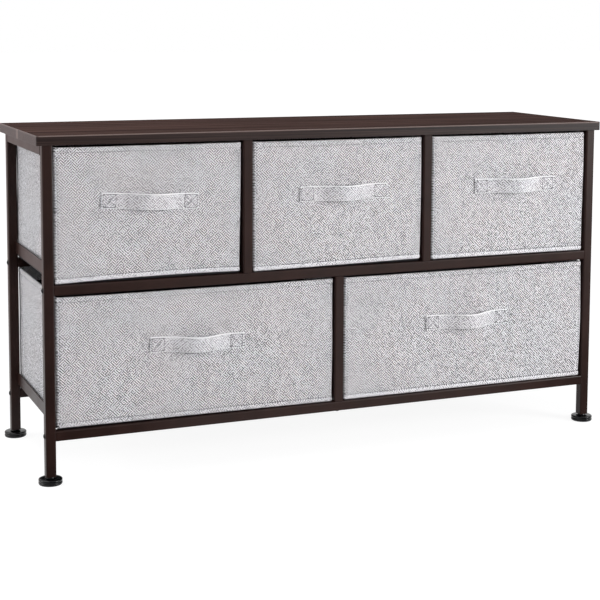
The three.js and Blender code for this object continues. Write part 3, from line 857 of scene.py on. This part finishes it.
for index, (name, drawer) in enumerate(drawers.items()):
    body = "drawer_" + name
    drawer["low"], drawer["high"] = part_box(body + "_bin")
    drawer["seed"] = 1.7 * index + 0.4   # so that no two bins hang alike
    handleLow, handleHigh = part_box(body + "_handle")
    drawer["strapX"] = (handleLow.x + handleHigh.x) / 2
    drawer["strapZ"] = (handleLow.z + handleHigh.z) / 2
    seat(buildBin(body, drawer), body, "bin_fabric", body + "_bin")
    seat(buildStrap(body, drawer), body, "strap_fabric", body + "_handle")
    seat(stitchMesh(body + "Seams", binStitches(drawer)), body, "bin_fabric")
    strapSeams = stitchMesh(body + "StrapSeams", strapStitches(drawer), strapSizes["stitchRadius"])
    seat(strapSeams, body, "strap_fabric")
    boardLow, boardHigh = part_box(body + "_base_board")
    seat(buildBaseBoard(body, boardLow, boardHigh, drawer["seed"]), body, "base_board", body + "_base_board")
print("drawers sewn")


# Turned and threaded pieces are built upright at the origin and then set in place
def turnedRings(profile, segments, shape=None):
    rings = []
    for radius, z in profile:
        ring = []
        for k in range(segments):
            angle = 2 * math.pi * k / segments
            r = shape(radius, z, angle) if shape else radius
            ring.append((r * math.cos(angle), r * math.sin(angle), z))
        rings.append(ring)
    return np.array(rings)


def placedRings(rings, axis, origin):
    turn = Vector((0, 0, 1)).rotation_difference(Vector(axis)).to_matrix()
    return rings @ np.array(turn).T + np.array(origin)


# Button-head bolts: a domed head with a hexagon socket, and a plain shank inside the tube
boltSizes = {
    "headRadius": 5 * mm,
    "headHeight": 2.8 * mm,
    "socketFlats": 3.6 * mm,
    "socketDepth": 1.6 * mm,
    "shankRadius": 3 * mm,
    "length": 24 * mm,
    "segments": 48,
}


def boltRings(sizes):
    head, height, shank = sizes["headRadius"], sizes["headHeight"], sizes["shankRadius"]
    crown = (head ** 2 + height ** 2) / (2 * height)
    profile = [(shank - 0.6 * mm, -sizes["length"]), (shank, 0.6 * mm - sizes["length"]), (shank, 0),
               (head - 0.2 * mm, 0), (head, 0.25 * mm)]
    for i in range(1, 9):
        r = head * (1 - i / 8) + sizes["socketFlats"] * 0.62 * i / 8
        profile.append((r, max(0.3 * mm, math.sqrt(crown ** 2 - r ** 2) + height - crown)))
    rings = turnedRings(profile, sizes["segments"])

    def hexagon(radius, z, angle):
        step = math.pi / 3
        return radius / math.cos((angle % step) - step / 2)

    flats, rim, bottom = sizes["socketFlats"] / 2, profile[-1][1], height - sizes["socketDepth"]
    socket = [(flats + 0.15 * mm, rim + 0.05 * mm), (flats, rim - 0.15 * mm), (flats, bottom),
              (0.5 * mm, bottom - 0.5 * mm)]
    return np.concatenate([rings, turnedRings(socket, sizes["segments"], hexagon)])


def fitBolt(name, sizes, finish, axis, place, *replaced):
    rings = placedRings(boltRings(sizes), axis, place)
    seat(loftPiece(name, rings, [finish], creaseDegrees=30), "frame", "bolt_steel", *replaced)


for name in [n for n in nodes if n.startswith(("rail_bolt_", "post_bolt_"))]:
    low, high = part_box(name)
    x, y, z = (low + high) / 2
    if name.startswith("post_bolt"):
        axis, place = (0, 0, -1), (x, y, low.z + boltSizes["headHeight"])
    elif name.endswith("left"):
        axis, place = (-1, 0, 0), (low.x + boltSizes["headHeight"], y, z)
    else:
        axis, place = (1, 0, 0), (high.x - boltSizes["headHeight"], y, z)
    fitBolt(name + "_turned", boltSizes, blackenedSteel, axis, place, name)

# The bolts up into the upper posts, and the screws that hold the board to the top rungs
postBolt = dict(boltSizes, headHeight=2.4 * mm, length=20 * mm)
screwSizes = {
    "headRadius": 4 * mm,
    "headHeight": 2 * mm,
    "socketFlats": 3 * mm,
    "socketDepth": 1.2 * mm,
    "shankRadius": 1.9 * mm,
    "length": 26 * mm,
    "segments": 40,
    "fromMiddle": 84 * mm,
}
for end in ("front", "rear"):
    railLow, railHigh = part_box(f"mid_rail_{end}")
    for side in ("left", "right"):
        postLow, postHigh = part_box(f"upper_post_{end}_{side}")
        place = ((postLow.x + postHigh.x) / 2, (postLow.y + postHigh.y) / 2, railLow.z)
        fitBolt(f"upperPostBolt_{end}_{side}", postBolt, blackenedSteel, (0, 0, -1), place)
for side in ("left", "right"):
    rungLow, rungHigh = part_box(f"side_rung_top_{side}")
    middle = (rungLow + rungHigh) / 2
    for end, sign in (("front", -1), ("rear", 1)):
        place = (middle.x, middle.y + sign * screwSizes["fromMiddle"], rungLow.z)
        fitBolt(f"boardScrew_{end}_{side}", screwSizes, zincSteel, (0, 0, -1), place)
print("bolts and screws in")


# Levelling feet: a polished disc with a groove round it, a hub, and a threaded stem up into the leg plug
footSizes = {
    "segments": 72,
    "stemSegments": 36,
    "hubRadius": 7 * mm,
    "discHeight": 10 * mm,
    "hubTop": 12 * mm,
    "stemRadius": 4 * mm,
    "threadPitch": 1.25 * mm,
    "threadDepth": 0.5 * mm,
}


def footRings(radius):
    s = footSizes
    shares = [(0.6, 0.05), (0.62, 0.0), (0.9, 0.0), (0.945, 0.015), (0.975, 0.06), (0.992, 0.12), (1, 0.2),
              (1, 0.33), (0.993, 0.38), (0.97, 0.41), (0.945, 0.44), (0.94, 0.48), (0.945, 0.52),
              (0.97, 0.55), (0.993, 0.58), (1, 0.63), (1, 0.76), (0.993, 0.81), (0.975, 0.86), (0.945, 0.9),
              (0.9, 0.935), (0.82, 0.965), (0.7, 0.985), (0.55, 0.995), (0.45, 1.0)]
    hub, disc, top = s["hubRadius"], s["discHeight"], s["hubTop"]
    profile = [(share * radius, height * disc) for share, height in shares]
    profile += [(hub + 0.3 * mm, disc + 0.1 * mm), (hub, disc + 0.5 * mm), (hub, top - 0.4 * mm),
                (hub - 0.4 * mm, top), (s["stemRadius"], top)]
    return turnedRings(profile, s["segments"])


def stemRings(top):
    s = footSizes

    def threaded(radius, z, angle):
        turn = (z / s["threadPitch"] - angle / (2 * math.pi)) % 1
        fade = ease((top - z) / (1.2 * mm))
        return radius - s["threadDepth"] * (abs(2 * turn - 1) * fade + 1 - fade)

    rows, start = int((top - s["hubTop"]) / (0.2 * mm)), s["hubTop"] - 0.5 * mm
    profile = [(s["stemRadius"], start + (top - start) * i / rows) for i in range(rows + 1)]
    return turnedRings(profile, s["stemSegments"], threaded)


for name in [n for n in nodes if n.startswith("levelling_foot_")]:
    low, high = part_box(name)
    body = name.replace("levelling_foot_", "foot_")
    origin = ((low.x + high.x) / 2, (low.y + high.y) / 2, 0)
    disc = loftPiece(body + "_disc", placedRings(footRings((high.x - low.x) / 2), (0, 0, 1), origin),
                     [glossyPlastic], creaseDegrees=50)
    stem = loftPiece(body + "_stem", placedRings(stemRings(high.z), (0, 0, 1), origin), [zincSteel],
                     creaseDegrees=80)
    seat(disc, body, "foot_plastic", name)
    seat(stem, body, "bolt_steel")
print("feet on")


# Weld beads: a small rippled fillet round each rung end, painted over with the frame
weldSizes = {
    "radius": 0.9 * mm,
    "ripplePitch": 1.3 * mm,
    "ripple": 0.16,
    "tubeCorner": 2 * mm,
    "barCorner": 0.5 * mm,
    "around": 8,
    "endReach": 0.4,
    "groundShare": 0.35,
}


def weldRings(low, high, y, openTop):
    s = weldSizes
    path = []
    corner = s["tubeCorner"] if high.x - low.x > 3 * s["tubeCorner"] else s["barCorner"]
    for place in np.arange(0, 8, 1 / 14):
        path.append(outlinePoint(place, low.x, high.x, low.z, high.z, corner))
    if openTop:
        # The board lies on the top rungs, so their beads stop below it
        top = [i for i, p in enumerate(path) if p[3] > 0.3]
        path = path[top[-1] + 1:] + path[:top[0]]
    rings, run = [], 0.0
    for i, (x, z, nx, nz) in enumerate(path):
        before = path[i - 1] if i or not openTop else path[0]
        run += math.hypot(x - before[0], z - before[1])
        radius = s["radius"] * (1 + s["ripple"] * math.sin(run / s["ripplePitch"] * 2 * math.pi))
        # On the outer faces of the dresser's ends the bead is ground down
        if abs(nx) > 0.9 and (x > 0) == (nx > 0) and abs(x) > s["endReach"]:
            radius *= s["groundShare"]
        if openTop:
            radius *= max(0.25, ease(min(i, len(path) - 1 - i) / 4))
        ring = []
        for k in range(s["around"]):
            angle = 2 * math.pi * k / s["around"]
            ring.append((x + nx * radius * math.cos(angle), y + radius * math.sin(angle),
                         z + nz * radius * math.cos(angle)))
        rings.append(ring)
    return rings


for name in [n for n in nodes if n.startswith(("side_rung", "guide_bar", "divider_rung"))]:
    low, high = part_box(name)
    openTop = "_top_" in name
    for end, y in (("front", low.y), ("rear", high.y)):
        rings = weldRings(low, high, y, openTop)
        seat(loftPiece(f"weld_{name}_{end}", rings, [paintedSteel], wrapped=not openTop, creaseDegrees=80),
             "frame", "frame_steel")
print("rungs and bars welded")


# Stage: a pale floor that keeps only a faint shadow, and a white surround
stageLook = {
    "floorSize": 60.0,
    "nearGlow": 0.88,
    "farGlow": 1.0,
    "nearReach": 1.2,
    "farReach": 3.5,
    "floorColour": "#8a8a8a",
    "bounceColour": "#d8d8d8",
    "surroundColour": "#f4f5f8",
    "surroundGlow": 0.34,
}


def seenDirectly(tree):
    rays = addNode(tree, "LightPath", out=None)
    seen = addNode(tree, "Math", {0: rays["Is Camera Ray"], 1: rays["Is Glossy Ray"]}, operation="MAXIMUM")
    return addNode(tree, "Math", {0: seen, 1: rays["Is Transmission Ray"]}, operation="MAXIMUM")


def paleFloor():
    material, tree = startMaterial("paleStudioFloor")
    coords = addNode(tree, "TexCoord", out="Object")
    reach = addNode(tree, "VectorMath", {0: coords}, out="Value", operation="LENGTH")
    level = addNode(tree, "MapRange", {
        "Value": reach, "From Min": stageLook["nearReach"], "From Max": stageLook["farReach"],
        "To Min": stageLook["nearGlow"], "To Max": stageLook["farGlow"]})
    glow = addNode(tree, "Emission", {"Strength": level})
    matt = addNode(tree, "BsdfDiffuse", {"Color": linear(stageLook["floorColour"])})
    seen = addNode(tree, "AddShader", {0: glow, 1: matt})
    bounce = addNode(tree, "BsdfDiffuse", {"Color": linear(stageLook["bounceColour"])})
    return finishMaterial(material, addNode(tree, "MixShader", {0: seenDirectly(tree), 1: bounce, 2: seen}))


half = stageLook["floorSize"] / 2
floor = meshPiece("floor", [(-half, -half, 0), (half, -half, 0), (half, half, 0), (-half, half, 0)],
                  [(0, 1, 2, 3)], [paleFloor()])
floor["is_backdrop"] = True


# Dark and pale cards lie and stand out of the camera's sight, and only gloss sees them, so that painted and
# polished edges mirror dark as well as light. The last two corners of an outline, on the floor, are its far
# edge, where the upright card stands
def buildCard(name, colour, corners):
    material, tree = startMaterial(name + "Cloth")
    finishMaterial(material, addNode(tree, "Emission", {"Color": linear(colour), "Strength": 1.0}))
    sheet = meshPiece(name, corners, [(0, 1, 2, 3)], [material])
    sheet.visible_camera = sheet.visible_diffuse = sheet.visible_shadow = sheet.visible_transmission = False
    sheet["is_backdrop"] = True


cards = {
    "frontLeft": {"colour": "#141212", "outline": [(-0.9, -0.158), (-0.32, -0.158), (1.38, -6), (-3, -6)]},
    "frontRight": {"colour": "#2b2828", "outline": [(0.36, -0.158), (1.2, -0.158), (9, -6), (3.8, -6)]},
    "rearLeft": {"colour": "#f0e0df", "outline": [(-0.6, 0.9), (-5, 0.9), (-5, 7), (-0.6, 7)]},
}
cardHeight = 3.0
for name, card in cards.items():
    flat = [(x, y, 1 * mm) for x, y in card["outline"]]
    far = flat[2:]
    buildCard(name + "Flat", card["colour"], flat)
    buildCard(name + "Upright", card["colour"], far + [(x, y, cardHeight) for x, y, _ in reversed(far)])

world = bpy.data.worlds.new("paleSurround")
bpy.context.scene.world = world
world.use_nodes = True
tree = world.node_tree
tree.nodes.clear()
ambient = addNode(tree, "Background", {
    "Color": linear(stageLook["surroundColour"]), "Strength": stageLook["surroundGlow"]})
white = addNode(tree, "Background", {"Color": linear("#ffffff"), "Strength": 1.0})
surround = addNode(tree, "MixShader", {0: seenDirectly(tree), 1: ambient, 2: white})
addNode(tree, "OutputWorld", {"Surface": surround}, out=None)


# Lamps: a large softbox ahead on the right, weaker ones on the left and ahead, and a faint one overhead. The
# ones that aren't in gloss light the fabric but would show as streaks in the paint
lamps = {
    "keyRight": {"place": (2.3, -2.3, 1.0), "aim": (0.1, -0.1, 0.3), "size": (1.3, 1.3), "watts": 65},
    "fillLeft": {"place": (-2.6, 0.4, 0.9), "aim": (-0.4, 0.0, 0.3), "size": (1.2, 1.6), "watts": 23},
    "rimLeft": {"place": (-1.78, 2.3, 0.62), "aim": (-0.5, 0.0, 0.3), "size": (1.5, 1.2), "watts": 18,
                "inGloss": False},
    "frontFill": {"place": (-0.4, -3.4, 1.1), "aim": (0.0, -0.15, 0.3), "size": (2.0, 1.4), "watts": 35,
                  "inGloss": False},
    "overhead": {"place": (-0.75, 0.25, 1.5), "aim": (-0.7, 0.2, 0.5), "size": (1.0, 1.0), "watts": 4.2},
}
for name, lamp in lamps.items():
    light = bpy.data.lights.new(name, "AREA")
    light.shape = "RECTANGLE"
    light.size, light.size_y = lamp["size"]
    light.energy = lamp["watts"]
    lampObject = bpy.data.objects.new(name, light)
    lampObject.location = lamp["place"]
    aim = Vector(lamp["aim"]) - Vector(lamp["place"])
    lampObject.rotation_euler = aim.to_track_quat("-Z", "Y").to_euler()
    lampObject.visible_camera = False
    lampObject.visible_glossy = lamp.get("inGloss", True)
    bpy.context.scene.collection.objects.link(lampObject)
print("lamps lit")


# Camera: left of centre and a little above the board, with the shift that the photograph's framing needs
cameraSizes = {
    "place": (-0.9378, -2.2629, 0.7102),
    "right": (0.92144469, -0.3884718, 0.0054173),
    "up": (0.03434522, 0.09533931, 0.99485216),
    "focalPixels": 1421.89,
    "imagePixels": 600.0,
    "middlePixel": (316.81, 168.0),
    "sensor": 36.0,
}
lens = bpy.data.cameras.new("photoCamera")
lens.sensor_fit = "HORIZONTAL"
lens.sensor_width = cameraSizes["sensor"]
lens.lens = cameraSizes["focalPixels"] / cameraSizes["imagePixels"] * cameraSizes["sensor"]
lens.shift_x = 0.5 - cameraSizes["middlePixel"][0] / cameraSizes["imagePixels"]
lens.shift_y = cameraSizes["middlePixel"][1] / cameraSizes["imagePixels"] - 0.5
lens.clip_start, lens.clip_end = 0.05, 60
camera = bpy.data.objects.new("photoCamera", lens)
right, up = Vector(cameraSizes["right"]).normalized(), Vector(cameraSizes["up"])
back = right.cross(up).normalized()
up = back.cross(right)
turn = Matrix((right, up, back)).transposed()
camera.matrix_world = Matrix.Translation(cameraSizes["place"]) @ turn.to_4x4()
bpy.context.scene.collection.objects.link(camera)
bpy.context.scene.camera = camera
bpy.context.scene.view_settings.view_transform = "Standard"
print("camera set")

low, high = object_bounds()
